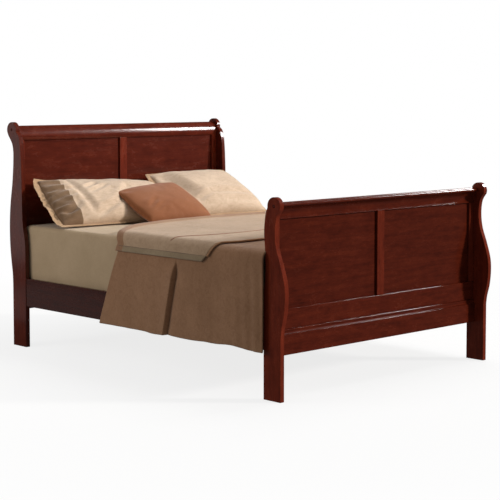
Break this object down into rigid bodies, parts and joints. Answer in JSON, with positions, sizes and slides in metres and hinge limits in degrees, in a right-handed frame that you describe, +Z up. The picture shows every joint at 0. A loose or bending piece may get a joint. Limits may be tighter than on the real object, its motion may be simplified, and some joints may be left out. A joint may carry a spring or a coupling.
{
  "type": "sleigh bed",
  "caption": "Queen-size sleigh bed with scrolled posts, panelled headboard and footboard, hooked side rails, slatted base and dressed mattress.",
  "frame": {"origin": "on the floor at the middle of the bed's outline", "axes": "+Z up, +Y from the foot of the bed to its head, +X across the bed"},
  "size_m": [1.686, 2.349, 1.339],
  "materials": {
    "cherry": "dark red-brown cherry stain under gloss lacquer",
    "cherry_panel": "cherry veneer panel under gloss lacquer",
    "pine": "unfinished planed pine",
    "steel": "zinc-plated pressed steel",
    "black_plastic": "moulded black plastic",
    "ticking": "woven foundation ticking",
    "sheet_cotton": "smooth khaki cotton sheet",
    "comforter_cotton": "matt taupe-brown cotton with a paler reverse",
    "sham_cotton": "cream cotton sham with tan flange",
    "accent_cotton": "ribbed rust-brown cotton"
  },
  "bodies": {
    "bed": {"foot_post_left": "cherry", "foot_scroll_plug_left": "cherry", "foot_post_right": "cherry", "foot_scroll_plug_right": "cherry", "head_post_left": "cherry", "head_scroll_plug_left": "cherry", "head_post_right": "cherry", "head_scroll_plug_right": "cherry", "foot_top_roll": "cherry", "foot_center_stile": "cherry", "foot_side_stile_left": "cherry", "foot_panel_left": "cherry_panel", "foot_side_stile_right": "cherry", "foot_panel_right": "cherry_panel", "foot_panel_rail": "cherry", "head_top_roll": "cherry", "head_center_stile": "cherry", "head_side_stile_left": "cherry", "head_panel_left": "cherry_panel", "head_side_stile_right": "cherry", "head_panel_right": "cherry_panel", "head_panel_rail": "cherry", "foot_moulding": "cherry", "foot_lower_rail": "cherry", "head_lower_rail": "cherry", "side_rail_left": "cherry", "rail_cleat_left": "pine", "foot_post_plate_left": "steel", "foot_rail_hook_left": "steel", "head_post_plate_left": "steel", "head_rail_hook_left": "steel", "side_rail_right": "cherry", "rail_cleat_right": "pine", "foot_post_plate_right": "steel", "foot_rail_hook_right": "steel", "head_post_plate_right": "steel", "head_rail_hook_right": "steel", "center_beam": "pine", "foot_beam_stirrup": "steel", "head_beam_stirrup": "steel", "support_leg": "pine", "slat_1": "pine", "slat_2": "pine", "slat_3": "pine", "slat_4": "pine", "slat_5": "pine", "slat_6": "pine", "slat_7": "pine", "foundation": "ticking", "mattress": "sheet_cotton", "comforter": "comforter_cotton", "pillow_left": "sham_cotton", "pillow_right": "sham_cotton", "accent_pillow": "accent_cotton"},
    "levelling_foot": {"levelling_foot": "black_plastic"}
  },
  "joints": [
    {"name": "levelling_foot_turn", "type": "hinge", "parent": "bed", "child": "levelling_foot", "pos_m": [0, -0.235, 0.03], "axis": [0, 0, 1], "continuous": true}
  ]
}
